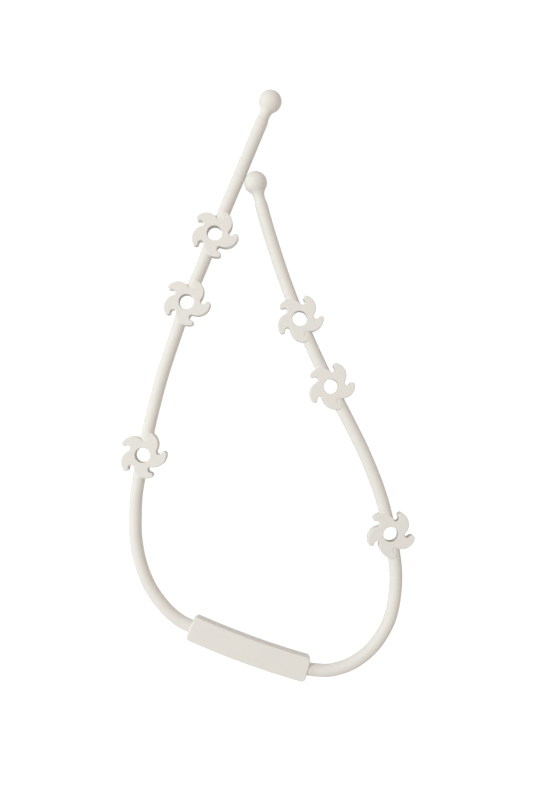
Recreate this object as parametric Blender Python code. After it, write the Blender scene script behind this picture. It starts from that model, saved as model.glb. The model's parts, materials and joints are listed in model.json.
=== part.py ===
"""A silicone tether strap lying flat in a teardrop loop.

A round cord runs from ball to ball. Each arm carries three eyelets with five hooked petals, and a bowed
plate sits in the middle of the strap. The rubber's bending is made by round joints in the cord: the outer
piece ends in a dome, and the dome turns in a socket in the inner piece. Units are metres, +Z is up, and the
strap lies on the plane z = 0, centred on the origin.
"""
import bisect
import math

import bmesh
import bpy
from mathutils import Matrix, Vector
from mathutils.geometry import interpolate_bezier, intersect_sphere_sphere_2d

MM = 0.001

# Cord and its joints
CORD_RADIUS = 2.9 * MM
CORD_SIDES = 12
RING_SPACING = 6.0 * MM
FACE_GAP = 0.3 * MM
SOCKET_GAP = 0.4 * MM
SOCKET_RADIUS = CORD_RADIUS + SOCKET_GAP
SOCKET_DEPTH_TO_RIM = math.sqrt(SOCKET_RADIUS**2 - CORD_RADIUS**2)
POLE_ANGLE = math.radians(20)
ROUND_STEPS = 3

# Flat features: the cord runs at the eyelets' mid height, and the plate is a little thicker
EYELET_THICKNESS = 6.2 * MM
MID_HEIGHT = EYELET_THICKNESS / 2
PLATE_THICKNESS = 7.0 * MM
EDGE_CHAMFER = 0.4 * MM

# Eyelet: each petal is a broad back arc, a small nose and a round notch, all tangent
PETALS = 5
HOLE_RADIUS = 3.35 * MM
HOLE_CHAMFER = 0.2 * MM
HOLE_SIDES = 24
BACK_RADIUS = 5.75 * MM
BACK_OFFSET = 5.1 * MM
BACK_ANGLE = math.radians(-4)
NOTCH_RADIUS = 1.2 * MM
NOTCH_OFFSET = 7.5 * MM
NOSE_RADIUS = 1.25 * MM
BACK_STEPS = 6
NOSE_STEPS = 3
NOTCH_STEPS = 5
STUB_REACH = 11.5 * MM

# Plate, bent into a shallow arc with the loop
PLATE_LENGTH = 55.8 * MM
PLATE_WIDTH = 11.3 * MM
PLATE_CORNER = 1.8 * MM
PLATE_CORNER_STEPS = 2
PLATE_BOW = 1.05 * MM
PLATE_ARC_RADIUS = PLATE_LENGTH**2 / (8 * PLATE_BOW)
PLATE_BOW_STEPS = 6
PLATE_CHORD_MIDDLE = Vector((-8.2, -117.7, 0.0)) * MM
PLATE_TURN = math.radians(-20)

# Tail and ball end: five equal links, then the neck, a hollow fillet and the ball
BALL_RADIUS = 5.15 * MM
BALL_SIDES = 16
BALL_STEPS = 9
NECK_RADIUS = 2.5 * MM
NECK_TAPER_START = 1.2 * MM
NECK_TAPER_END = 3.4 * MM
NECK_FILLET = 4.5 * MM
FILLET_STEPS = 3
TAIL_LINKS = 5
LINK_LENGTH = 7.26 * MM
BALL_REACH = 11.28 * MM

# Plan routes of the two arms in millimetres, from past the plate's end to the ball's centre. An eyelet's
# point is the centre of its hole.
LEFT_ROUTE = {
    "bend_1": (-40.4, -105.0),
    "bend_2": (-46.2, -99.7),
    "bend_3": (-53.1, -90.0),
    "bend_4": (-57.4, -78.7),
    "bend_5": (-59.3, -67.5),
    "bend_6": (-59.4, -57.2),
    "bend_7": (-58.9, -48.4),
    "lower_eyelet": (-55.9, -31.2),
    "middle_1": (-52.1, -13.5),
    "middle_2": (-47.4, 4.4),
    "middle_3": (-41.5, 22.4),
    "middle_eyelet": (-36.3, 37.4),
    "upper_1": (-29.4, 54.0),
    "upper_eyelet": (-23.7, 68.1),
    "ball": (1.2, 127.1),
}
RIGHT_ROUTE = {
    "bend_1": (21.3, -127.9),
    "bend_2": (28.2, -128.0),
    "bend_3": (37.5, -125.1),
    "bend_4": (45.5, -119.4),
    "bend_5": (51.1, -112.5),
    "bend_6": (55.4, -103.5),
    "bend_7": (57.5, -91.4),
    "bend_8": (57.5, -81.0),
    "lower_eyelet": (55.1, -66.6),
    "middle_1": (50.9, -49.5),
    "middle_2": (43.9, -31.4),
    "middle_3": (37.4, -18.0),
    "middle_eyelet": (28.4, -0.5),
    "upper_1": (21.6, 13.6),
    "upper_eyelet": (14.4, 29.9),
    "tail_1": (6.9, 49.5),
    "tail_2": (1.0, 67.5),
    "tail_3": (-2.9, 81.0),
    "ball": (-5.3, 90.7),
}
CURVE_STEPS = 24

# The notch that points along the cord faces the left ball on every eyelet
NOTCH_SIDE = {"left": 1, "right": -1}

SILICONE_COLOUR = (0.78, 0.75, 0.70, 1.0)
SILICONE_ROUGHNESS = 0.6
SMOOTH_ANGLE = math.radians(35)


def clear_scene():
    for old in list(bpy.data.objects):
        bpy.data.objects.remove(old)


def silicone_material():
    material = bpy.data.materials.new("silicone")
    material.use_nodes = True
    shader = material.node_tree.nodes["Principled BSDF"]
    shader.inputs["Base Color"].default_value = SILICONE_COLOUR
    shader.inputs["Roughness"].default_value = SILICONE_ROUGHNESS
    shader.inputs["Metallic"].default_value = 0.0
    return material


class Route:
    """A smooth curve from a plate's end through picked plan points, measured along its length."""

    def __init__(self, start, leaving, picked):
        knots = [start] + [Vector((x * MM, y * MM, MID_HEIGHT)) for x, y in picked.values()]
        directions = [leaving]
        for before, after in zip(knots, knots[2:]):
            directions.append((after - before).normalized())
        directions.append((knots[-1] - knots[-2]).normalized())
        self.points = []
        for index in range(len(knots) - 1):
            knot, following = knots[index], knots[index + 1]
            reach = (following - knot).length / 3
            handle = knot + directions[index] * reach
            next_handle = following - directions[index + 1] * reach
            self.points += interpolate_bezier(knot, handle, next_handle, following, CURVE_STEPS + 1)[:-1]
        self.points.append(knots[-1])
        self.distances = [0.0]
        for first, second in zip(self.points, self.points[1:]):
            self.distances.append(self.distances[-1] + (second - first).length)
        self.length = self.distances[-1]
        self.knot_distance = {}
        for index, name in enumerate(picked, start=1):
            self.knot_distance[name] = self.distances[index * CURVE_STEPS]

    def point(self, distance):
        index = bisect.bisect_right(self.distances, distance) - 1
        index = min(max(index, 0), len(self.points) - 2)
        span = self.distances[index + 1] - self.distances[index]
        share = (distance - self.distances[index]) / span
        return self.points[index].lerp(self.points[index + 1], share)

    def frame(self, distance):
        probe = 0.5 * MM
        direction = self.point(distance + probe) - self.point(distance - probe)
        return facing(self.point(distance), direction)


def facing(place, direction):
    """A frame at a place, with its local Z along a direction and its local Y as near to up as it can be."""
    return Matrix.Translation(place) @ direction.to_track_quat("Z", "Y").to_matrix().to_4x4()


def dome_rings(hinge):
    """Rings of the round start of a piece, centred on its hinge."""
    rings = []
    for step in range(ROUND_STEPS + 1):
        angle = POLE_ANGLE + (math.pi / 2 - POLE_ANGLE) * step / ROUND_STEPS
        offset = Matrix.Translation((0, 0, -CORD_RADIUS * math.cos(angle)))
        rings.append((hinge @ offset, CORD_RADIUS * math.sin(angle)))
    return rings


def socket_rings(hinge):
    """Rings of the hollow end of a piece, from its rim to its bottom, centred on the next hinge."""
    rim_angle = math.asin(CORD_RADIUS / SOCKET_RADIUS)
    rings = []
    for step in range(ROUND_STEPS + 1):
        angle = rim_angle + (POLE_ANGLE - rim_angle) * step / ROUND_STEPS
        offset = Matrix.Translation((0, 0, -SOCKET_RADIUS * math.cos(angle)))
        rings.append((hinge @ offset, SOCKET_RADIUS * math.sin(angle)))
    return rings


def cord_rings(route, start, end):
    """Rings of plain cord between two distances along a route."""
    count = max(1, round((end - start) / RING_SPACING))
    return [(route.frame(start + (end - start) * step / count), CORD_RADIUS) for step in range(count + 1)]


def ring_edges(ring):
    return [edge for edge in {edge for vert in ring for edge in vert.link_edges}
            if edge.verts[0] in ring and edge.verts[1] in ring]


def round_mesh(name, rings, sides):
    """A closed round body through rings, each a frame and a radius, with flat caps."""
    shape = bmesh.new()
    loops = []
    for frame, radius in rings:
        circle = bmesh.ops.create_circle(shape, segments=sides, radius=radius, matrix=frame)
        loops.append(circle["verts"])
    for first, second in zip(loops, loops[1:]):
        bmesh.ops.bridge_loops(shape, edges=ring_edges(first) + ring_edges(second))
    for cap in (loops[0], loops[-1]):
        bmesh.ops.contextual_create(shape, geom=cap)
    return finished_mesh(name, shape)


def finished_mesh(name, shape):
    bmesh.ops.recalc_face_normals(shape, faces=shape.faces)
    mesh = bpy.data.meshes.new(name)
    shape.to_mesh(mesh)
    shape.free()
    mesh.shade_smooth()
    mesh.set_sharp_from_angle(angle=SMOOTH_ANGLE)
    return mesh


def add_pivot(name, place, parent=None):
    """An empty on a joint's axis. It carries the pieces that the joint moves."""
    pivot = bpy.data.objects.new(name, None)
    pivot.empty_display_size = CORD_RADIUS
    bpy.context.scene.collection.objects.link(pivot)
    pivot["place"] = place
    pivot.parent = parent
    pivot.location = place - Vector(parent["place"]) if parent else place
    return pivot


def add_piece(name, mesh, pivot, frame):
    """A named piece carried by a pivot, with its mesh in its own frame."""
    piece = bpy.data.objects.new(name, mesh)
    bpy.context.scene.collection.objects.link(piece)
    piece.parent = pivot
    piece.matrix_local = Matrix.Translation(-Vector(pivot["place"])) @ frame
    return piece


def add_helper(name, mesh, pivot, frame):
    helper = add_piece(name, mesh, pivot, frame)
    helper.hide_render = True
    helper.display_type = "WIRE"
    return helper


def cut_or_join(piece, helper, operation):
    modifier = piece.modifiers.new(helper.name, "BOOLEAN")
    modifier.operation = operation
    modifier.object = helper


def round_piece(name, rings, pivot, sides=CORD_SIDES):
    """A round piece whose rings are in world space, with its origin at its pivot."""
    to_pivot = Matrix.Translation(-Vector(pivot["place"]))
    mesh = round_mesh(name, [(to_pivot @ frame, radius) for frame, radius in rings], sides)
    return add_piece(name, mesh, pivot, Matrix.Translation(pivot["place"]))


def polar(distance, angle):
    return Vector((math.cos(angle), math.sin(angle))) * distance


def turned(point, angle):
    return Matrix.Rotation(angle, 2) @ point


def arc(centre, radius, start, end, steps):
    """Points along an arc, without its last one, which starts the next arc."""
    return [centre + polar(radius, start + (end - start) * step / steps) for step in range(steps)]


def heading(vector):
    return math.atan2(vector.y, vector.x)


def petal_outline():
    """One petal from its back to its notch, anticlockwise, with the notch on local +X."""
    step = 2 * math.pi / PETALS
    back = polar(BACK_OFFSET, BACK_ANGLE)
    next_back = turned(back, step)
    axis = Vector((0, 0))
    crossings = intersect_sphere_sphere_2d(axis, NOTCH_OFFSET, next_back, BACK_RADIUS + NOTCH_RADIUS)
    notch = max(crossings, key=lambda point: point.x)
    crossings = intersect_sphere_sphere_2d(back, BACK_RADIUS - NOSE_RADIUS, notch, NOTCH_RADIUS + NOSE_RADIUS)
    nose = max(crossings, key=lambda point: point.x)
    last_notch = turned(notch, -step)
    back_start = heading(last_notch - back)
    back_end = heading(nose - back)
    nose_end = heading(notch - nose)
    notch_start = heading(nose - notch)
    notch_end = heading(next_back - notch) - 2 * math.pi
    outline = arc(back, BACK_RADIUS, back_start, back_end, BACK_STEPS)
    outline += arc(nose, NOSE_RADIUS, back_end, nose_end, NOSE_STEPS)
    outline += arc(notch, NOTCH_RADIUS, notch_start, notch_end, NOTCH_STEPS)
    return outline


def petals_mesh():
    """The five hooked petals as one flat body, with chamfered rims."""
    shape = bmesh.new()
    petal = petal_outline()
    verts = []
    for index in range(PETALS):
        for point in petal:
            place = turned(point, 2 * math.pi * index / PETALS)
            verts.append(shape.verts.new((place.x, place.y, -EYELET_THICKNESS / 2)))
    floor = shape.faces.new(verts)
    raised = bmesh.ops.extrude_face_region(shape, geom=[floor], use_keep_orig=True)
    top = [item for item in raised["geom"] if isinstance(item, bmesh.types.BMVert)]
    bmesh.ops.translate(shape, verts=top, vec=(0, 0, EYELET_THICKNESS))
    bmesh.ops.recalc_face_normals(shape, faces=shape.faces)
    chamfer(shape, rim_edges(shape), EDGE_CHAMFER, 1)
    return finished_mesh("eyelet_petals", shape)


def rim_edges(shape):
    """Edges where a flat body's top and bottom faces meet its walls."""
    edges = []
    for edge in shape.edges:
        flat_faces = [face for face in edge.link_faces if abs(face.normal.z) > 0.5]
        if len(flat_faces) == 1:
            edges.append(edge)
    return edges


def chamfer(shape, edges, width, steps):
    bmesh.ops.bevel(shape, geom=edges, offset=width, segments=steps, profile=0.5, affect="EDGES",
                    material=-1, clamp_overlap=True)


def hole_mesh():
    """The cutter of an eyelet's hole, flared where it chamfers the hole's rims."""
    past = 1.0 * MM
    rings = []
    for side in (-1, 1):
        outer = (side * (EYELET_THICKNESS / 2 + past), HOLE_RADIUS + HOLE_CHAMFER + past)
        inner = (side * (EYELET_THICKNESS / 2 - HOLE_CHAMFER), HOLE_RADIUS)
        rings += [outer, inner][::-side]
    frames = [(Matrix.Translation((0, 0, height)), radius) for height, radius in rings]
    return round_mesh("eyelet_hole", frames, HOLE_SIDES)


def link_mesh():
    """A tail link along local +Z: a dome on its own hinge and a socket for the next one."""
    next_hinge = Matrix.Translation((0, 0, LINK_LENGTH))
    return round_mesh("tail_link", dome_rings(Matrix()) + socket_rings(next_hinge), CORD_SIDES)


def ball_end_mesh():
    """The narrowed neck and the ball along local +Z, starting with a dome on its hinge.

    A hollow arc that touches the neck and the ball joins the two.
    """
    fillet_meets_ball = math.asin((NECK_RADIUS + NECK_FILLET) / (BALL_RADIUS + NECK_FILLET))
    fillet_start = BALL_REACH - (BALL_RADIUS + NECK_FILLET) * math.cos(fillet_meets_ball)
    profile = [(NECK_TAPER_START, CORD_RADIUS), (NECK_TAPER_END, NECK_RADIUS)]
    for step in range(FILLET_STEPS):
        angle = (math.pi / 2 - fillet_meets_ball) * step / FILLET_STEPS
        height = fillet_start + NECK_FILLET * math.sin(angle)
        profile.append((height, NECK_RADIUS + NECK_FILLET * (1 - math.cos(angle))))
    for step in range(BALL_STEPS):
        angle = fillet_meets_ball + (math.pi - fillet_meets_ball) * step / BALL_STEPS
        profile.append((BALL_REACH - BALL_RADIUS * math.cos(angle), BALL_RADIUS * math.sin(angle)))
    rings = dome_rings(Matrix())
    rings += [(Matrix.Translation((0, 0, height)), radius) for height, radius in profile]
    return round_mesh("ball_end", rings, BALL_SIDES)


def bowed(place):
    """Bends a straight plate's point into the plate's arc, whose ends lie on the chord."""
    angle = place.x / PLATE_ARC_RADIUS
    reach = PLATE_ARC_RADIUS - place.y
    sag = PLATE_ARC_RADIUS - PLATE_BOW - reach * math.cos(angle)
    return Vector((reach * math.sin(angle), sag, place.z))


def plate_mesh():
    shape = bmesh.new()
    bmesh.ops.create_cube(shape, size=1.0)
    bmesh.ops.scale(shape, verts=shape.verts, vec=(PLATE_LENGTH, PLATE_WIDTH, PLATE_THICKNESS))
    upright = [edge for edge in shape.edges if abs(edge.verts[0].co.z - edge.verts[1].co.z) > MM]
    chamfer(shape, upright, PLATE_CORNER, PLATE_CORNER_STEPS)
    for step in range(1, PLATE_BOW_STEPS):
        cut = (PLATE_LENGTH * (step / PLATE_BOW_STEPS - 0.5), 0, 0)
        geometry = shape.verts[:] + shape.edges[:] + shape.faces[:]
        bmesh.ops.bisect_plane(shape, geom=geometry, plane_co=cut, plane_no=(1, 0, 0))
    chamfer(shape, rim_edges(shape), EDGE_CHAMFER, 1)
    for vert in shape.verts:
        vert.co = bowed(vert.co)
    return finished_mesh("plate", shape)


def add_eyelet(name, hub, inner_end, outer_end, socket, notch_direction, pivot, petals, hole):
    """Petals joined to a stub of cord on each side, with the hole cut last.

    The stubs run from the inner end through the hub to the outer end. Where a socket is given, it is the
    hinge that the outer stub holds.
    """
    rings = [
        (facing(inner_end, hub - inner_end), CORD_RADIUS),
        (facing(hub, outer_end - inner_end), CORD_RADIUS),
    ]
    if socket:
        rings += socket_rings(facing(socket, socket - hub))
    else:
        rings.append((facing(outer_end, outer_end - hub), CORD_RADIUS))
    turn = Matrix.Rotation(heading(notch_direction), 4, "Z")
    frame = Matrix.Translation(hub) @ turn
    eyelet = add_piece(name, petals, pivot, frame)
    stubs = round_piece(name + "_stubs", rings, pivot)
    stubs.hide_render = True
    stubs.display_type = "WIRE"
    cut_or_join(eyelet, stubs, "UNION")
    cut_or_join(eyelet, add_helper(name + "_hole", hole, pivot, frame), "DIFFERENCE")


def add_arm(side, route, plate_pivot, meshes):
    """One arm from the plate's end to its ball: cords, eyelets, tail links and ball end."""
    hub = {name: route.knot_distance[name] for name in ("lower_eyelet", "middle_eyelet", "upper_eyelet")}
    face = STUB_REACH + FACE_GAP
    notch_side = NOTCH_SIDE[side]

    lower_hinge = (FACE_GAP + hub["lower_eyelet"] - face) / 2
    middle_hinge = (hub["lower_eyelet"] + hub["middle_eyelet"]) / 2
    upper_hinge = (hub["middle_eyelet"] + hub["upper_eyelet"]) / 2
    tail_start = route.length - BALL_REACH - TAIL_LINKS * LINK_LENGTH

    lower_pivot = add_pivot(side + "_lower_pivot", route.point(lower_hinge), plate_pivot)
    middle_pivot = add_pivot(side + "_middle_pivot", route.point(middle_hinge), lower_pivot)
    upper_pivot = add_pivot(side + "_upper_pivot", route.point(upper_hinge), middle_pivot)

    def inner_cord(name, start, hinge, pivot):
        rings = cord_rings(route, start, hinge - SOCKET_DEPTH_TO_RIM)[:-1]
        round_piece(side + name, rings + socket_rings(route.frame(hinge)), pivot)

    def outer_cord(name, hinge, end, pivot):
        round_piece(side + name, dome_rings(route.frame(hinge)) + cord_rings(route, hinge, end)[1:], pivot)

    def eyelet(name, pivot, socket=None):
        place = hub[name]
        along = route.point(place + MM) - route.point(place - MM)
        add_eyelet(f"{side}_{name}", route.point(place), route.point(place - STUB_REACH),
                   route.point(place + STUB_REACH), socket, along * notch_side, pivot,
                   meshes["petals"], meshes["hole"])

    inner_cord("_lower_cord_inner", FACE_GAP, lower_hinge, plate_pivot)
    outer_cord("_lower_cord_outer", lower_hinge, hub["lower_eyelet"] - face, lower_pivot)
    eyelet("lower_eyelet", lower_pivot)
    inner_cord("_middle_cord_inner", hub["lower_eyelet"] + face, middle_hinge, lower_pivot)
    outer_cord("_middle_cord_outer", middle_hinge, hub["middle_eyelet"] - face, middle_pivot)
    eyelet("middle_eyelet", middle_pivot, route.point(upper_hinge))
    outer_cord("_upper_cord", upper_hinge, hub["upper_eyelet"] - face, upper_pivot)
    eyelet("upper_eyelet", upper_pivot, route.point(tail_start))
    add_tail(side, route, tail_start, upper_pivot, meshes)


def add_tail(side, route, tail_start, pivot, meshes):
    """The tail's links and ball end, rising evenly so that the ball clears the surface."""
    rise = BALL_RADIUS - MID_HEIGHT
    hinges = []
    for index in range(TAIL_LINKS + 1):
        distance = tail_start + index * LINK_LENGTH
        lift = rise * (distance - tail_start) / (route.length - tail_start)
        hinges.append(route.point(distance) + Vector((0, 0, lift)))
    hinges.append(route.point(route.length) + Vector((0, 0, rise)))
    for index, (hinge, following) in enumerate(zip(hinges, hinges[1:]), start=1):
        pivot = add_pivot(f"{side}_tail_pivot_{index}", hinge, pivot)
        frame = facing(hinge, following - hinge)
        if index <= TAIL_LINKS:
            add_piece(f"{side}_tail_link_{index}", meshes["link"], pivot, frame)
        else:
            add_piece(f"{side}_ball_end", meshes["ball_end"], pivot, frame)


def plate_frame():
    middle = PLATE_CHORD_MIDDLE + Vector((0, 0, PLATE_THICKNESS / 2))
    return Matrix.Translation(middle) @ Matrix.Rotation(PLATE_TURN, 4, "Z")


def arm_route(end, picked):
    """An arm's route, square to the plate's end: end is -1 at the left end and 1 at the right end."""
    frame = plate_frame()
    outwards = Vector((end, 0, 0))
    half_length = PLATE_LENGTH / 2
    end_turn = Matrix.Rotation(end * half_length / PLATE_ARC_RADIUS, 3, "Z")
    return Route(frame @ bowed(outwards * half_length), frame.to_3x3() @ end_turn @ outwards, picked)


def main():
    clear_scene()
    silicone = silicone_material()
    meshes = {
        "petals": petals_mesh(),
        "hole": hole_mesh(),
        "link": link_mesh(),
        "ball_end": ball_end_mesh(),
    }
    plate_pivot = add_pivot("plate_pivot", plate_frame().translation)
    add_piece("plate", plate_mesh(), plate_pivot, plate_frame())
    add_arm("left", arm_route(-1, LEFT_ROUTE), plate_pivot, meshes)
    add_arm("right", arm_route(1, RIGHT_ROUTE), plate_pivot, meshes)
    for mesh in bpy.data.meshes:
        mesh.materials.append(silicone)


main()
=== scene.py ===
# %% [markdown]
# # Dressing a silicone tether strap
#
# The strap is one soft moulding of off-white silicone: a round cord with a ball at each end, three pinwheel
# eyelets on each arm and a bowed plate in the middle. A plain solid model of it exists already, with joints
# where the rubber bends. This lesson makes the surfaces that are seen and lays them over that frame, so the
# frame comes first and nothing in it is moved.

# %% Load the frame
import json
import math

import bmesh
import bpy
from mathutils import Matrix, Vector
from mathutils.geometry import interpolate_bezier, intersect_sphere_sphere_2d


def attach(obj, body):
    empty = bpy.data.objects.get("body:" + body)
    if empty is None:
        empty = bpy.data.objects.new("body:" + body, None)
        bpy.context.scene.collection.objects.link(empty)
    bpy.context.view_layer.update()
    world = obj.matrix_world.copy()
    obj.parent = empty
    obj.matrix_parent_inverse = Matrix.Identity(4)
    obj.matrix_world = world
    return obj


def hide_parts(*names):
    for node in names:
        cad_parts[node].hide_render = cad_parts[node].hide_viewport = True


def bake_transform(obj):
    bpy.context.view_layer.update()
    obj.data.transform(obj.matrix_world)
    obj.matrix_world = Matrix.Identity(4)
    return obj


MM = 0.001
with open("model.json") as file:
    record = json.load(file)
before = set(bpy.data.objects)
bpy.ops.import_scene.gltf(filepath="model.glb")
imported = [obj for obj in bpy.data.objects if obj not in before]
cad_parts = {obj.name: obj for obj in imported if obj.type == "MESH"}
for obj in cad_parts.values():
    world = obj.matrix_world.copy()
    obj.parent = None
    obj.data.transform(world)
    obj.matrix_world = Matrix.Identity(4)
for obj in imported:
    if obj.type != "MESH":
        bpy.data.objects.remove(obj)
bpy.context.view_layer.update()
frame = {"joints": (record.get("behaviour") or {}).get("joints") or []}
joints = {joint["name"]: joint for joint in frame["joints"]}

# %% [markdown]
# ## The camera
#
# The strap is seen from straight above. A camera with no turn at all looks down -Z with +Y up, so it only
# needs a place and a lens. A 40 mm lens 40 cm away sees a little of the plate's inner wall and of the holes'
# walls, which a longer lens would hide. Display values are kept as the lights make them, with no film curve,
# because a film curve would grey the white ground.

# %% Camera
CAMERA_PLACE = Vector((-0.45, -6.525, 403.0)) * MM
CAMERA_LENS = 40.0

camera = bpy.data.objects.new("camera", bpy.data.cameras.new("camera"))
camera.data.lens = CAMERA_LENS
camera.location = CAMERA_PLACE
bpy.context.scene.collection.objects.link(camera)
bpy.context.scene.camera = camera
bpy.context.scene.view_settings.view_transform = "Standard"
print("camera:", round(camera.location.z / MM), "mm up")

# %% [markdown]
# ## Points on the two arms
#
# A strap that lies on a table makes long calm curves. Each arm is a short list of given points, in
# millimetres, from past the plate's end to the middle of the ball. A formula for such free curves would need
# as many numbers, and points are easier to move. The points called lower, middle and upper are the middles
# of the eyelets' holes.

# %% Points on the two arms
LEFT_KNOTS = {
    "bend_1": (-40.4, -105.0),
    "bend_2": (-46.2, -99.7),
    "bend_3": (-53.1, -90.0),
    "bend_4": (-57.4, -78.7),
    "bend_5": (-59.3, -67.5),
    "bend_6": (-59.4, -57.2),
    "bend_7": (-58.9, -48.4),
    "lower": (-55.9, -31.2),
    "middle_1": (-52.1, -13.5),
    "middle_2": (-47.4, 4.4),
    "middle_3": (-41.5, 22.4),
    "middle": (-36.3, 37.4),
    "upper_1": (-29.4, 54.0),
    "upper": (-23.7, 68.1),
    "ball": (1.2, 127.1),
}
RIGHT_KNOTS = {
    "bend_1": (21.3, -127.9),
    "bend_2": (28.2, -128.0),
    "bend_3": (37.5, -125.1),
    "bend_4": (45.5, -119.4),
    "bend_5": (51.1, -112.5),
    "bend_6": (55.4, -103.5),
    "bend_7": (57.5, -91.4),
    "bend_8": (57.5, -81.0),
    "lower": (55.1, -66.6),
    "middle_1": (50.9, -49.5),
    "middle_2": (43.9, -31.4),
    "middle_3": (37.4, -18.0),
    "middle": (28.4, -0.5),
    "upper_1": (21.6, 13.6),
    "upper": (14.4, 29.9),
    "tail_1": (6.9, 49.5),
    "tail_2": (1.0, 67.5),
    "tail_3": (-2.9, 81.0),
    "ball": (-5.3, 90.7),
}
print("points:", len(LEFT_KNOTS), "on the left arm,", len(RIGHT_KNOTS), "on the right arm")

# %% [markdown]
# ## The plate's arc
#
# The arms start at the ends of the plate, and the plate is bowed with the loop. A straight plate's points
# are bent round the middle of one wide arc, which follows from the plate's length and its bow. A modifier
# could bend the plate alone. Here one formula places the starts of the arms and, later, bends the plate's
# own shape, so the two always meet.

# %% The plate's place and arc
PLATE_LENGTH = 55.8 * MM
PLATE_THICKNESS = 7.0 * MM
PLATE_BOW = 1.05 * MM
PLATE_ARC_RADIUS = PLATE_LENGTH**2 / (8 * PLATE_BOW)
PLATE_MIDDLE = Vector((-8.2 * MM, -117.7 * MM, PLATE_THICKNESS / 2))
PLATE_TURN = math.radians(-20)
plate_place = Matrix.Translation(PLATE_MIDDLE) @ Matrix.Rotation(PLATE_TURN, 4, "Z")


def bowed(place):
    """Bends a straight plate's point into the plate's arc, whose ends lie on the chord."""
    angle = place.x / PLATE_ARC_RADIUS
    reach = PLATE_ARC_RADIUS - place.y
    sag = PLATE_ARC_RADIUS - PLATE_BOW - reach * math.cos(angle)
    return Vector((reach * math.sin(angle), sag, place.z))


print("plate's arc:", round(PLATE_ARC_RADIUS / MM), "mm in radius")

# %% [markdown]
# ## The line that each arm follows
#
# One smooth Bezier curve runs through an arm's points, with handles that are a third of each span. A curve
# object could hold it, but here it is measured along its length, so that a piece can be placed by its
# distance from the plate. The tail rises evenly, because its ball is thicker than the cord and still rests
# on the table.

# %% Lines of the two arms
MID_HEIGHT = 3.1 * MM
BALL_RADIUS = 5.15 * MM
CURVE_STEPS = 24
CORD_PROBE = 0.5 * MM


def facing(place, direction):
    """A frame at a place, with its Z along a direction and its Y as near to up as it can be."""
    return Matrix.Translation(place) @ direction.to_track_quat("Z", "Y").to_matrix().to_4x4()


class Arm:
    """One arm's line from the plate's end to its ball, measured along its length."""

    def __init__(self, side, end, knots):
        self.side = side
        self.points = []
        self.trace(end, knots)
        self.distances = [0.0]
        for first, second in zip(self.points, self.points[1:]):
            self.distances.append(self.distances[-1] + (second - first).length)
        self.length = self.distances[-1]
        self.hub = {}
        for index, name in enumerate(knots, start=1):
            self.hub[name] = self.distances[index * CURVE_STEPS]
        self.lift_tail()

    def trace(self, end, knots):
        """Draws the curve from the plate's end, square to it, through the knots."""
        plate_end = Vector((end * PLATE_LENGTH / 2, 0, 0))
        end_turn = Matrix.Rotation(plate_end.x / PLATE_ARC_RADIUS, 3, "Z")
        places = [plate_place @ bowed(plate_end)]
        places += [Vector((x * MM, y * MM, MID_HEIGHT)) for x, y in knots.values()]
        headings = [plate_place.to_3x3() @ end_turn @ plate_end.normalized()]
        headings += [(after - before).normalized() for before, after in zip(places, places[2:])]
        headings.append((places[-1] - places[-2]).normalized())
        for index in range(len(places) - 1):
            here, there = places[index], places[index + 1]
            reach = (there - here).length / 3
            handles = here + headings[index] * reach, there - headings[index + 1] * reach
            self.points += interpolate_bezier(here, *handles, there, CURVE_STEPS + 1)[:-1]
        self.points.append(places[-1])

    def lift_tail(self):
        """Raises the tail evenly towards the ball, which is thicker than the cord."""
        tail_start = self.nearest(self.pivot("tail_curl"))
        for index, distance in enumerate(self.distances):
            share = (distance - tail_start) / (self.length - tail_start)
            self.points[index].z += (BALL_RADIUS - MID_HEIGHT) * max(share, 0.0)

    def pivot(self, joint):
        """Where one of the arm's joints turns."""
        return Vector(joints[f"{self.side}_{joint}"]["pos_m"])

    def nearest(self, place):
        """The distance along the line that is nearest to a place."""
        index = min(range(len(self.points)), key=lambda each: (self.points[each] - place).length)
        return self.distances[index]

    def place(self, distance):
        """The point at a distance along the line, which runs straight on past its ends."""
        index = 0
        while index < len(self.points) - 2 and self.distances[index + 1] < distance:
            index += 1
        share = (distance - self.distances[index]) / (self.distances[index + 1] - self.distances[index])
        return self.points[index].lerp(self.points[index + 1], share)

    def along(self, distance, probe):
        """The line's direction at a distance, from a point a little before to a point a little after."""
        return self.place(distance + probe) - self.place(distance - probe)

    def frame(self, distance):
        return facing(self.place(distance), self.along(distance, CORD_PROBE))


arms = [Arm("left", -1, LEFT_KNOTS), Arm("right", 1, RIGHT_KNOTS)]
for arm in arms:
    print(arm.side, "arm:", round(arm.length / MM, 1), "mm from the plate to the ball's middle")

# %% [markdown]
# ## Shader sums
#
# A node tree is easier to read as arithmetic. `Value` wraps one socket, and each operator on it adds a Math
# node, also with a plain number on the left. `Finish` holds one material, and its `node` method makes any
# other node: its settings are set first, then the values or links of its sockets.

# %% Shader helpers
MIX_COLOUR_OUTPUT = 2


class Value:
    """A shader socket that can stand in a sum."""

    def __init__(self, finish, socket):
        self.finish = finish
        self.socket = socket

    def combine(self, operation, first, second):
        return self.finish.node("ShaderNodeMath", {"operation": operation}, {0: first, 1: second})

    def __add__(self, other):
        return self.combine("ADD", self, other)

    def __radd__(self, other):
        return self.combine("ADD", other, self)

    def __mul__(self, other):
        return self.combine("MULTIPLY", self, other)

    def __rmul__(self, other):
        return self.combine("MULTIPLY", other, self)

    def __abs__(self):
        return self.combine("ABSOLUTE", self, 0.0)


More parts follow.
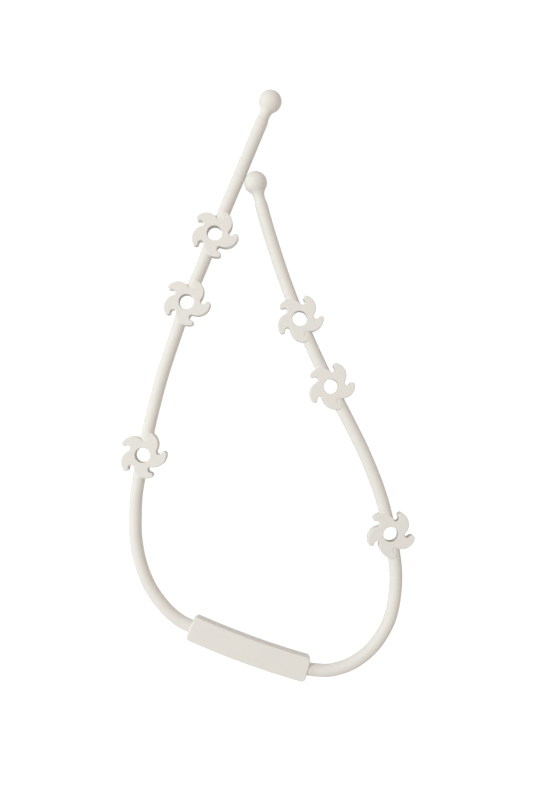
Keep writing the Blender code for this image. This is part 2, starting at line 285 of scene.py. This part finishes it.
class Finish:
    """A material and the nodes that feed its Principled shader."""

    def __init__(self, name):
        self.material = bpy.data.materials.new(name)
        self.material.use_nodes = True
        self.tree = self.material.node_tree
        self.shader = self.tree.nodes["Principled BSDF"]

    def node(self, kind, settings, sockets, output=0):
        node = self.tree.nodes.new(kind)
        for name, value in settings.items():
            setattr(node, name, value)
        for name, value in sockets.items():
            self.feed(self.find_socket(node, name), value)
        return Value(self, node.outputs[output])

    def find_socket(self, node, name):
        """A socket by its number, or the one of that name that is in use: a Mix node has several."""
        if isinstance(name, int):
            return node.inputs[name]
        return next(socket for socket in node.inputs if socket.enabled and socket.name == name)

    def feed(self, socket, value):
        if isinstance(value, Value):
            self.tree.links.new(value.socket, socket)
        else:
            socket.default_value = value

    def paint(self, sockets):
        """Feeds the shader itself."""
        for name, value in sockets.items():
            self.feed(self.shader.inputs[name], value)

    def noise(self, place, size, detail):
        sockets = {"Vector": place, "Scale": 1.0 / size, "Detail": detail}
        return self.node("ShaderNodeTexNoise", {}, sockets)

    def fade(self, value, start, end):
        """1 at start, falling softly to 0 at end."""
        sockets = {"Value": value, "From Min": start, "From Max": end, "To Min": 1.0, "To Max": 0.0}
        return self.node("ShaderNodeMapRange", {"interpolation_type": "SMOOTHSTEP"}, sockets)

    def mix(self, share, first, second):
        sockets = {"Factor": share, "A": first, "B": second}
        return self.node("ShaderNodeMix", {"data_type": "RGBA"}, sockets, MIX_COLOUR_OUTPUT)


print("shader helpers: ready")

# %% [markdown]
# ## Matte silicone
#
# Moulded silicone is matte and a little warm, and light goes a millimetre or so into it, which softens the
# edges of shade. Its detail is small: a fine grain from the blasted mould, slow ripples, faint mottling in
# the colour and in the gloss, and a hair-thin line where the two mould halves met. Painted pictures could
# hold these, but noise in the piece's own space has no seams and stays sharp from near. The line follows
# each piece, so it reads the `seam` attribute: a point's height over the plane where the halves met. All
# heights are real lengths in metres.

# %% Silicone finish
WARM_SILICONE = (0.805, 0.775, 0.732, 1.0)
COOL_SILICONE = (0.790, 0.772, 0.738, 1.0)
LINE_SILICONE = (0.720, 0.690, 0.650, 1.0)
MOTTLE_SIZE = 12 * MM
MOTTLE_DETAIL = 3.0
MOTTLE_COOL = 0.35
MOTTLE_WARM = 0.65
RIPPLE_SIZE = 5 * MM
RIPPLE_DETAIL = 1.0
RIPPLE_HEIGHT = 0.05 * MM
GRAIN_SIZE = 0.35 * MM
GRAIN_DETAIL = 2.0
GRAIN_HEIGHT = 0.008 * MM
LINE_CORE = 0.04 * MM
LINE_EDGE = 0.16 * MM
LINE_HEIGHT = 0.03 * MM
LINE_TINT = 0.35
LEAST_ROUGHNESS = 0.52
GRAIN_ROUGHNESS = 0.10
MOTTLE_ROUGHNESS = 0.08
BUMP_STRENGTH = 0.6
SILICONE_IOR = 1.41
SCATTER_WEIGHT = 0.08
SCATTER_SPREAD = (1.0, 0.85, 0.7)
SCATTER_DEPTH = 1.2 * MM


def silicone():
    finish = Finish("silicone_matte")
    place = finish.node("ShaderNodeTexCoord", {}, {}, "Object")
    seam = finish.node("ShaderNodeAttribute", {"attribute_name": "seam"}, {}, "Fac")
    mottle = finish.noise(place, MOTTLE_SIZE, MOTTLE_DETAIL)
    ripple = finish.noise(place, RIPPLE_SIZE, RIPPLE_DETAIL)
    grain = finish.noise(place, GRAIN_SIZE, GRAIN_DETAIL)
    line = finish.fade(abs(seam), LINE_CORE, LINE_EDGE)
    tint = finish.mix(finish.fade(mottle, MOTTLE_COOL, MOTTLE_WARM), WARM_SILICONE, COOL_SILICONE)
    height = grain * GRAIN_HEIGHT + ripple * RIPPLE_HEIGHT + line * LINE_HEIGHT
    bump = {"Strength": BUMP_STRENGTH, "Distance": 1.0, "Height": height}
    finish.paint({
        "Base Color": finish.mix(line * LINE_TINT, tint, LINE_SILICONE),
        "Roughness": LEAST_ROUGHNESS + GRAIN_ROUGHNESS * grain + MOTTLE_ROUGHNESS * mottle,
        "Normal": finish.node("ShaderNodeBump", {}, bump),
        "IOR": SILICONE_IOR,
        "Subsurface Weight": SCATTER_WEIGHT,
        "Subsurface Radius": SCATTER_SPREAD,
        "Subsurface Scale": SCATTER_DEPTH,
    })
    return finish.material


matte_silicone = silicone()
print("finish:", matte_silicone.name, "with", len(matte_silicone.node_tree.nodes), "nodes")

# %% [markdown]
# ## Making a tube
#
# Every length of cord is a tube along its arm's line. A circle is made at the first station, its edges are
# extruded to the next station and the new ring is moved there, and so on to the end. A curve object with a
# bevel would be shorter, but a tube that bends across a joint has to be a mesh.

# %% Tubes
CORD_RADIUS = 2.9 * MM
CORD_SIDES = 48
RING_STEP = 0.7 * MM
FEWEST_STEPS = 2
TUCK = 0.05 * MM


def mark_seam(ring, seam, height):
    """Notes how far each point of a ring lies over the height where the mould halves met."""
    for vert in ring:
        vert[seam] = vert.co.z - height


def tube(stations):
    """A closed tube through stations, each a frame and a radius. Its seam is at the height of its line."""
    shape = bmesh.new()
    seam = shape.verts.layers.float.new("seam")
    station, radius = stations[0]
    place = station @ Matrix.Scale(radius, 4)
    ring = bmesh.ops.create_circle(shape, segments=CORD_SIDES, radius=1.0, matrix=place)["verts"]
    mark_seam(ring, seam, place.translation.z)
    loop = shape.edges[:]
    caps = [loop]
    for station, radius in stations[1:]:
        following = station @ Matrix.Scale(radius, 4)
        grown = bmesh.ops.extrude_edge_only(shape, edges=loop)["geom"]
        ring = {item for item in grown if isinstance(item, bmesh.types.BMVert)}
        edges = [item for item in grown if isinstance(item, bmesh.types.BMEdge)]
        loop = [edge for edge in edges if ring.issuperset(edge.verts)]
        bmesh.ops.transform(shape, matrix=following @ place.inverted(), verts=list(ring))
        place = following
        mark_seam(ring, seam, place.translation.z)
    caps.append(loop)
    for cap in caps:
        bmesh.ops.contextual_create(shape, geom=cap)
    bmesh.ops.recalc_face_normals(shape, faces=shape.faces)
    return shape


def cord_stations(arm, start, end):
    """Stations of plain cord from one distance along an arm to another."""
    count = max(FEWEST_STEPS, round((end - start) / RING_STEP))
    distances = [start + (end - start) * step / count for step in range(count + 1)]
    return [(arm.frame(distance), CORD_RADIUS) for distance in distances]


def tucked(stations):
    """Draws in the end rings a little, so that a length's ends hide inside what they overlap."""
    first, last = stations[0][0], stations[-1][0]
    return [(first, CORD_RADIUS - TUCK)] + stations[1:-1] + [(last, CORD_RADIUS - TUCK)]


print("cord:", CORD_SIDES, "sides, with a ring each", RING_STEP / MM, "mm")

# %% [markdown]
# ## Dressing the frame
#
# `dress` puts a finished mesh in the scene and says which solids of the frame it stands for. Rubber has no
# hinges, but `bend` only finds a joint's pivot and the line's direction there and bakes the piece's place
# into its mesh, so no piece is turned at a joint.

# %% Pieces and bends
CREASE_ANGLE = math.radians(40)


def mesh_of(name, shape):
    mesh = bpy.data.meshes.new(name)
    shape.to_mesh(mesh)
    shape.free()
    return mesh


def dress(name, mesh, *nodes):
    """A finished piece of silicone that stands for nodes of the frame."""
    mesh.shade_smooth()
    mesh.set_sharp_from_angle(angle=CREASE_ANGLE)
    mesh.materials.append(matte_silicone)
    piece = bpy.data.objects.new(name, mesh)
    bpy.context.scene.collection.objects.link(piece)
    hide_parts(*nodes)
    return piece


def cord_piece(name, stations, *nodes):
    return dress(name, mesh_of(name, tube(stations)), *nodes)


def bend(piece, arm, joint, before, after):
    """Finds a joint's pivot and the line's direction there, then bakes the piece's place into its mesh. The
    reaches before and after the pivot are not used.
    """
    pivot = arm.pivot(joint)
    along = arm.frame(arm.nearest(pivot)).to_3x3() @ Vector((0, 0, 1))
    pivot - along * before
    pivot + along * after
    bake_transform(piece)


print("creases: sharp from", round(math.degrees(CREASE_ANGLE)), "degrees")

# %% [markdown]
# ## Lower and middle cords
#
# The longest free lengths of cord run from the plate to the lower eyelet, and from there to the middle one.
# Each crosses one joint, and a reach on both sides of that joint's pivot is given to its bend, but `bend`
# turns nothing. The ends reach a little over the stubs of the plate and the eyelets, so no gap shows.

# %% Lower and middle cords
STUB_REACH = 11.5 * MM
OVERLAP = 0.6 * MM
PLATE_STUB = 1.8 * MM
LOWER_BEND_REACH = 30 * MM
MIDDLE_BEND_REACH = 22 * MM
EYELET_END = STUB_REACH - OVERLAP


def free_cord(arm, part, start, end, reach):
    """A length of cord that lies loose across one joint."""
    stations = tucked(cord_stations(arm, start, end))
    nodes = f"{arm.side}_{part}_cord_inner", f"{arm.side}_{part}_cord_outer"
    name = f"{arm.side}_{part}_strand"
    piece = cord_piece(name, stations, *nodes)
    bend(piece, arm, f"{part}_bend", reach, reach)
    print(name, round((end - start) / MM, 1), "mm long")


for arm in arms:
    lower, middle = arm.hub["lower"], arm.hub["middle"]
    free_cord(arm, "lower", PLATE_STUB - OVERLAP, lower - EYELET_END, LOWER_BEND_REACH)
    free_cord(arm, "middle", lower + EYELET_END, middle - EYELET_END, MIDDLE_BEND_REACH)

# %% [markdown]
# ## A pinwheel's outline
#
# An eyelet is a flat disc with five hooked petals, moulded round the cord, with a hole for the ball. A
# petal's outline is three arcs that meet smoothly: a broad back, a small nose and a round notch. Points
# could be set along them by hand. But arcs that touch have middles a known distance apart, so each middle is
# found where two circles cross.

# %% Petal arcs
PETALS = 5
PETAL_TURN = 2 * math.pi / PETALS
BACK_RADIUS = 5.75 * MM
BACK_OFFSET = 5.1 * MM
BACK_ANGLE = math.radians(-4)
NOTCH_RADIUS = 1.2 * MM
NOTCH_OFFSET = 7.5 * MM
NOSE_RADIUS = 1.25 * MM


def flat(distance, angle):
    return Vector((distance * math.cos(angle), distance * math.sin(angle)))


def heading(vector):
    return math.atan2(vector.y, vector.x)


def petal_arcs():
    """A petal's three arcs, each a middle and the angle it sweeps, and the point that they start from."""
    back = flat(BACK_OFFSET, BACK_ANGLE)
    next_back = flat(BACK_OFFSET, BACK_ANGLE + PETAL_TURN)
    axis = Vector((0, 0))
    meets = intersect_sphere_sphere_2d(axis, NOTCH_OFFSET, next_back, BACK_RADIUS + NOTCH_RADIUS)
    notch = max(meets, key=lambda point: point.x)
    meets = intersect_sphere_sphere_2d(back, BACK_RADIUS - NOSE_RADIUS, notch, NOTCH_RADIUS + NOSE_RADIUS)
    nose = max(meets, key=lambda point: point.x)
    last_notch = Matrix.Rotation(-PETAL_TURN, 2) @ notch
    back_start, back_end = heading(last_notch - back), heading(nose - back)
    arcs = [
        (back, back_end - back_start),
        (nose, heading(notch - nose) - back_end),
        (notch, heading(next_back - notch) - 2 * math.pi - heading(nose - notch)),
    ]
    return arcs, back + flat(BACK_RADIUS, back_start)


arc_sweeps = [round(math.degrees(sweep)) for middle, sweep in petal_arcs()[0]]
print("petal: arcs of", arc_sweeps, "degrees")

# %% [markdown]
# ## Petals and hole
#
# A point that is spun about an arc's middle draws that arc, so fifteen spins draw the whole outline. It is
# then filled, extruded and bevelled. A flat curve could be extruded too, but would have to be made a mesh
# first. The hole is a shape of its own that is cut out later, and it flares at both rims.

# %% Petals and hole
EYELET_THICKNESS = 2 * MID_HEIGHT
RIM_ROUND = 0.4 * MM
RIM_STEPS = 4
HOLE_RADIUS = 3.35 * MM
HOLE_FLARE = 0.15 * MM
CUT_MARGIN = 1.0 * MM
ARC_STEP = math.radians(9)
WELD = 0.01 * MM


def rise(edge):
    return abs(edge.verts[0].co.z - edge.verts[1].co.z)


def round_edges(shape, edges, width, steps, clamp=False):
    bmesh.ops.bevel(shape, geom=edges, offset=width, segments=steps, profile=0.5, affect="EDGES",
                    material=-1, clamp_overlap=clamp)


def slab(shape):
    """Gives a flat outline its thickness and rounds its rims."""
    outline = bmesh.ops.contextual_create(shape, geom=shape.edges[:])["faces"]
    raised = bmesh.ops.extrude_face_region(shape, geom=outline, use_keep_orig=True)["geom"]
    top = [item for item in raised if isinstance(item, bmesh.types.BMVert)]
    bmesh.ops.translate(shape, verts=shape.verts, vec=(0, 0, -EYELET_THICKNESS / 2))
    bmesh.ops.translate(shape, verts=top, vec=(0, 0, EYELET_THICKNESS))
    bmesh.ops.recalc_face_normals(shape, faces=shape.faces)
    rims = [edge for edge in shape.edges if rise(edge) < RIM_ROUND]
    round_edges(shape, rims, RIM_ROUND, RIM_STEPS, clamp=True)
    return shape


def petals():
    """All five petals as one slab."""
    shape = bmesh.new()
    arcs, start = petal_arcs()
    point = shape.verts.new(start.to_3d())
    for petal in range(PETALS):
        turn = Matrix.Rotation(petal * PETAL_TURN, 3, "Z")
        for middle, sweep in arcs:
            drawn = bmesh.ops.spin(shape, geom=[point], cent=turn @ middle.to_3d(), axis=(0, 0, 1),
                                   angle=sweep, steps=round(abs(sweep) / ARC_STEP))
            point = drawn["geom_last"][0]
    bmesh.ops.remove_doubles(shape, verts=shape.verts, dist=WELD)
    return slab(shape)


def hole():
    """The shape that is cut out, which reaches past both faces."""
    past = EYELET_THICKNESS / 2 + CUT_MARGIN
    rim = EYELET_THICKNESS / 2 - HOLE_FLARE
    wide = HOLE_RADIUS + HOLE_FLARE + CUT_MARGIN
    heights = [(-past, wide), (-rim, HOLE_RADIUS), (rim, HOLE_RADIUS), (past, wide)]
    return tube([(Matrix.Translation((0, 0, height)), radius) for height, radius in heights])


hole_width = round(2 * HOLE_RADIUS / MM, 1)
print("eyelet:", round(EYELET_THICKNESS / MM, 1), "mm thick, with a hole of", hole_width, "mm")

# %% [markdown]
# ## Moulding shapes together
#
# Petals, plate and cord are one moulding, with soft inner corners where they meet. Boolean modifiers join
# and cut the closed shapes, but alone they leave sharp corners that look cut. A voxel remesh and a little
# smoothing turn the joined solids into one skin with the soft corners that a mould gives.

# %% Moulding
VOXEL = 0.17 * MM
SMOOTH_FACTOR = 0.5
SMOOTH_ROUNDS = 4


def seen_from(place, stations):
    """Stations in a place's own space."""
    return [(place.inverted() @ station, radius) for station, radius in stations]


def moulded(name, base, joined, cut):
    """One soft skin over closed shapes: some joined to a base, some cut from it."""
    parts = []
    for shape in [base] + joined + cut:
        part = bpy.data.objects.new(name, mesh_of(name, shape))
        bpy.context.scene.collection.objects.link(part)
        parts.append(part)
    body = parts[0]
    for index, part in enumerate(parts[1:]):
        boolean = body.modifiers.new("join or cut", "BOOLEAN")
        boolean.operation = "UNION" if index < len(joined) else "DIFFERENCE"
        boolean.object = part
    skin = body.modifiers.new("skin", "REMESH")
    skin.mode = "VOXEL"
    skin.voxel_size = VOXEL
    soft = body.modifiers.new("soft corners", "SMOOTH")
    soft.factor = SMOOTH_FACTOR
    soft.iterations = SMOOTH_ROUNDS
    mesh = bpy.data.meshes.new_from_object(body.evaluated_get(bpy.context.evaluated_depsgraph_get()))
    for part in parts:
        bpy.data.objects.remove(part)
    heights = mesh.attributes.new("seam", "FLOAT", "POINT")
    for vert in mesh.vertices:
        heights.data[vert.index].value = vert.co.z
    return mesh


print("moulding: voxels of", VOXEL / MM, "mm")

# %% [markdown]
# ## Six eyelets
#
# Each arm carries three eyelets, and they differ only in the cord's slight curve inside them. One could be
# copied six times, but its stubs would then miss the cord's line. Each is moulded flat about its own middle
# and moved to its arm, where one notch lies along the strap and faces the left ball. An eyelet doesn't bend,
# so it rides on one body.

# %% Six eyelets
NOTCH_SIDE = {"left": 1, "right": -1}
EYELET_PROBE = 1.0 * MM

for arm in arms:
    for part in ("lower", "middle", "upper"):
        hub = arm.hub[part]
        turn = heading(arm.along(hub, EYELET_PROBE) * NOTCH_SIDE[arm.side])
        place = Matrix.Translation(arm.place(hub)) @ Matrix.Rotation(turn, 4, "Z")
        stub = tube(seen_from(place, cord_stations(arm, hub - STUB_REACH, hub + STUB_REACH)))
        mesh = moulded("pinwheel", petals(), [stub], [hole()])
        mesh.transform(place)
        piece = dress(f"{arm.side}_{part}_pinwheel", mesh, f"{arm.side}_{part}_eyelet")
        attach(piece, f"{arm.side}_{part}_arm")
        print(piece.name, len(mesh.polygons), "faces")

# %% [markdown]
# ## Upper cords
#
# Only a finger's width of cord shows between the middle and the upper eyelet, and it bends at its middle. It
# is a tube like the others, but too short to lie loose, so it isn't declared as a cord. The reach given to
# its bend takes up nearly all of it, but `bend` turns nothing.

# %% Upper cords
UPPER_BEND_REACH = 5 * MM

for arm in arms:
    start, end = arm.hub["middle"] + EYELET_END, arm.hub["upper"] - EYELET_END
    stations = tucked(cord_stations(arm, start, end))
    piece = cord_piece(f"{arm.side}_upper_strand", stations, f"{arm.side}_upper_cord")
    bend(piece, arm, "upper_bend", UPPER_BEND_REACH, UPPER_BEND_REACH)
    print(piece.name, round((end - start) / MM, 1), "mm long")

# %% [markdown]
# ## Neck and ball
#
# At its end the cord narrows to a neck and swells into the ball, which is pushed through an eyelet. The neck
# meets the ball in a hollow arc that touches both, which is how a turned mould is rounded. A sphere could be
# joined to the cord instead. A profile of distances and radii lets one tube make cord, neck, arc and ball as
# one smooth surface.

# %% Neck and ball
NECK_RADIUS = 2.5 * MM
NECK_FILLET = 4.5 * MM
NECK_STEPS = 8
FILLET_STEPS = 6
BALL_STEPS = 28
POLE_RADIUS = 0.05 * MM

# How far before the ball's middle the cord starts to narrow, and where the neck is reached
NECK_START = 10.3 * MM
NECK_END = 7.5 * MM


def ball_profile():
    """The neck, fillet and ball as pairs: the distance past the ball's middle, and the radius there."""
    fillet_meets_ball = math.asin((NECK_RADIUS + NECK_FILLET) / (BALL_RADIUS + NECK_FILLET))
    fillet_start = -(BALL_RADIUS + NECK_FILLET) * math.cos(fillet_meets_ball)
    profile = []
    for step in range(NECK_STEPS + 1):
        share = step / NECK_STEPS
        ease = (1 - math.cos(math.pi * share)) / 2
        profile.append((-NECK_START + (NECK_START - NECK_END) * share,
                        CORD_RADIUS + (NECK_RADIUS - CORD_RADIUS) * ease))
    for step in range(FILLET_STEPS):
        angle = (math.pi / 2 - fillet_meets_ball) * step / FILLET_STEPS
        profile.append((fillet_start + NECK_FILLET * math.sin(angle),
                        NECK_RADIUS + NECK_FILLET * (1 - math.cos(angle))))
    for step in range(BALL_STEPS):
        angle = fillet_meets_ball + (math.pi - fillet_meets_ball) * step / BALL_STEPS
        profile.append((-BALL_RADIUS * math.cos(angle), BALL_RADIUS * math.sin(angle)))
    profile.append((BALL_RADIUS, POLE_RADIUS))
    return profile


print("ball:", len(ball_profile()), "rings from the neck to the pole")

# %% [markdown]
# ## Tails
#
# Past the upper eyelet the cord runs free to its ball. It curls over six joints, so it is made in six
# lengths, one for each joint, that meet at the middles of the links. Each length is given a bend whose reach
# is longer than the length, but `bend` turns nothing, so the lengths stay along the line.

# %% Tails
TAIL_JOINTS = 6

# Each pair is a bend's reach before its pivot and after it
FIRST_TAIL_BEND = (4.9 * MM, 7.76 * MM)
TAIL_BEND = (10.46 * MM, 10.46 * MM)
LAST_TAIL_BEND = (8.3 * MM, 6.0 * MM)
TAIL_BENDS = [FIRST_TAIL_BEND] + [TAIL_BEND] * (TAIL_JOINTS - 2) + [LAST_TAIL_BEND]


def tail_cuts(arm, names):
    """Where the tail's lengths meet: at the end of the eyelet's stub, and at the middle of each link."""
    hinges = [arm.nearest(arm.pivot(name)) for name in names]
    middles = [(first + second) / 2 for first, second in zip(hinges, hinges[1:])]
    return [arm.hub["upper"] + STUB_REACH] + middles


tail_joints = ["tail_curl"] + [f"tail_curl_{number}" for number in range(2, TAIL_JOINTS + 1)]
for arm in arms:
    cuts = tail_cuts(arm, tail_joints)
    for index in range(TAIL_JOINTS - 1):
        stations = tucked(cord_stations(arm, cuts[index] - OVERLAP, cuts[index + 1] + OVERLAP))
        name = f"{arm.side}_tail_strand_{index + 1}"
        piece = cord_piece(name, stations, f"{arm.side}_tail_link_{index + 1}")
        bend(piece, arm, tail_joints[index], *TAIL_BENDS[index])
    stations = tucked(cord_stations(arm, cuts[-1] - OVERLAP, arm.length - NECK_START))[:-1]
    stations += [(arm.frame(arm.length + distance), radius) for distance, radius in ball_profile()]
    piece = cord_piece(f"{arm.side}_ball", stations, f"{arm.side}_ball_end")
    bend(piece, arm, tail_joints[-1], *TAIL_BENDS[-1])
    print(arm.side, "tail:", round((arm.length - cuts[0]) / MM, 1), "mm to the ball's middle")

# %% [markdown]
# ## The plate
#
# The plate is a flat bar with rounded corners, bent into a shallow arc with the loop, and its faces are
# bare. It starts as a cube and is cut across in many places, so that bending its points round the arc's
# middle curves it smoothly and keeps its ends square to the cord. A stub of cord at each end joins it in the
# same moulded way.

# %% Plate
PLATE_WIDTH = 11.3 * MM
PLATE_CORNER = 1.8 * MM
PLATE_CORNER_STEPS = 6
PLATE_CUTS = 18
FLAT_FACE = 0.5
STUB_START = 1.0 * MM
STUB_ROOT = 3.0 * MM


def is_flat(face):
    return abs(face.normal.z) > FLAT_FACE


def bar():
    """The bar with its corners and rims rounded, bowed last."""
    shape = bmesh.new()
    bmesh.ops.create_cube(shape, size=1.0)
    bmesh.ops.scale(shape, verts=shape.verts, vec=(PLATE_LENGTH, PLATE_WIDTH, PLATE_THICKNESS))
    upright = [edge for edge in shape.edges if rise(edge) > RIM_ROUND]
    round_edges(shape, upright, PLATE_CORNER, PLATE_CORNER_STEPS)
    for cut in range(1, PLATE_CUTS):
        middle = (PLATE_LENGTH * (cut / PLATE_CUTS - 0.5), 0, 0)
        everything = shape.verts[:] + shape.edges[:] + shape.faces[:]
        bmesh.ops.bisect_plane(shape, geom=everything, plane_co=middle, plane_no=(1, 0, 0))
    rims = [edge for edge in shape.edges if sum(is_flat(face) for face in edge.link_faces) == 1]
    round_edges(shape, rims, RIM_ROUND, RIM_STEPS)
    for vert in shape.verts:
        vert.co = bowed(vert.co)
    return shape


plate_stubs = []
for arm in arms:
    root = arm.frame(STUB_START) @ Matrix.Translation((0, 0, -STUB_ROOT))
    stations = [(root, CORD_RADIUS)] + cord_stations(arm, STUB_START, PLATE_STUB)
    plate_stubs.append(tube(seen_from(plate_place, stations)))
mesh = moulded("plate_skin", bar(), plate_stubs, [])
mesh.transform(plate_place)
piece = dress("plate_skin", mesh, "plate")
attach(piece, "plate")
print("plate:", len(mesh.polygons), "faces")

# %% [markdown]
# ## The ground
#
# The strap lies on a bright white ground. A plain white sheet would look grey in the shade, so the ground
# that the camera sees glows by itself and is lit past white, as a studio lights it, and only a hint of shade
# is left where the strap touches it. It sends no light to the strap. A white card just under it does, with
# the strap's own shade in it, and a white dome stands behind everything for views from the side.

# %% Ground
GROUND_SIZE = 6.0
GROUND_DROP = 0.2 * MM
GROUND_GLOW = 0.93
CARD_DROP = 2 * GROUND_DROP
CARD_GLOW = 0.0
DOME_RADIUS = 2.9
DOME_SUBDIVISIONS = 4
DOME_GLOW = 1.0
STAGE_ROUGHNESS = 0.9
WHITE = (1.0, 1.0, 1.0, 1.0)
BLACK = (0.0, 0.0, 0.0, 1.0)
GROUND_COLOUR = (0.35, 0.35, 0.35, 1.0)
CARD_COLOUR = (0.83, 0.83, 0.83, 1.0)


def stage_piece(name, shape, colour, glow):
    """A piece of the studio with an even finish that may glow white."""
    finish = Finish(name)
    finish.paint({"Base Color": colour, "Roughness": STAGE_ROUGHNESS, "Specular IOR Level": 0.0,
                  "Emission Color": WHITE, "Emission Strength": glow})
    piece = bpy.data.objects.new(name, mesh_of(name, shape))
    piece.data.materials.append(finish.material)
    bpy.context.scene.collection.objects.link(piece)
    return piece


def sheet_shape(drop):
    shape = bmesh.new()
    bmesh.ops.create_grid(shape, size=GROUND_SIZE / 2, matrix=Matrix.Translation((0, 0, -drop)))
    return shape


def dome_shape():
    shape = bmesh.new()
    bmesh.ops.create_icosphere(shape, subdivisions=DOME_SUBDIVISIONS, radius=DOME_RADIUS)
    return shape


ground = stage_piece("white_ground", sheet_shape(GROUND_DROP), GROUND_COLOUR, GROUND_GLOW)
dome = stage_piece("white_dome", dome_shape(), BLACK, DOME_GLOW)
for seen_only in (ground, dome):
    seen_only.visible_diffuse = False
    seen_only.visible_glossy = False
    seen_only.visible_transmission = False
    seen_only.visible_shadow = False
card = stage_piece("bounce_card", sheet_shape(CARD_DROP), CARD_COLOUR, CARD_GLOW)
card.visible_camera = False
print("stage:", ground.name, dome.name, card.name)

# %% [markdown]
# ## The light
#
# One round softbox up on the left shades the right side of every form, and an even sky fills the rest. A sun
# or a small lamp would draw harder edges of shade than soft rubber shows. The sky is warm and the softbox a
# little cool, so the shade is slightly warmer than the light.

# %% Light
SKY = (0.594, 0.546, 0.506, 1.0)
SOFTBOX_COLOUR = (0.904, 1.0, 1.034)
SOFTBOX_POWER = 8.4
SOFTBOX_WIDTH = 0.44
SOFTBOX_DISTANCE = 1.26
SOFTBOX_RISE = math.radians(50)
SOFTBOX_HEADING = math.radians(170)

world = bpy.data.worlds.new("studio")
world.use_nodes = True
world.node_tree.nodes["Background"].inputs["Color"].default_value = SKY
bpy.context.scene.world = world

softbox = bpy.data.objects.new("softbox", bpy.data.lights.new("softbox", "AREA"))
softbox.data.shape = "DISK"
softbox.data.size = SOFTBOX_WIDTH
softbox.data.energy = SOFTBOX_POWER
softbox.data.color = SOFTBOX_COLOUR
towards = flat(math.cos(SOFTBOX_RISE), SOFTBOX_HEADING).to_3d()
towards.z = math.sin(SOFTBOX_RISE)
softbox.location = towards * SOFTBOX_DISTANCE
softbox.rotation_euler = towards.to_track_quat("Z", "Y").to_euler()
bpy.context.scene.collection.objects.link(softbox)
print("light: one softbox and a warm sky")
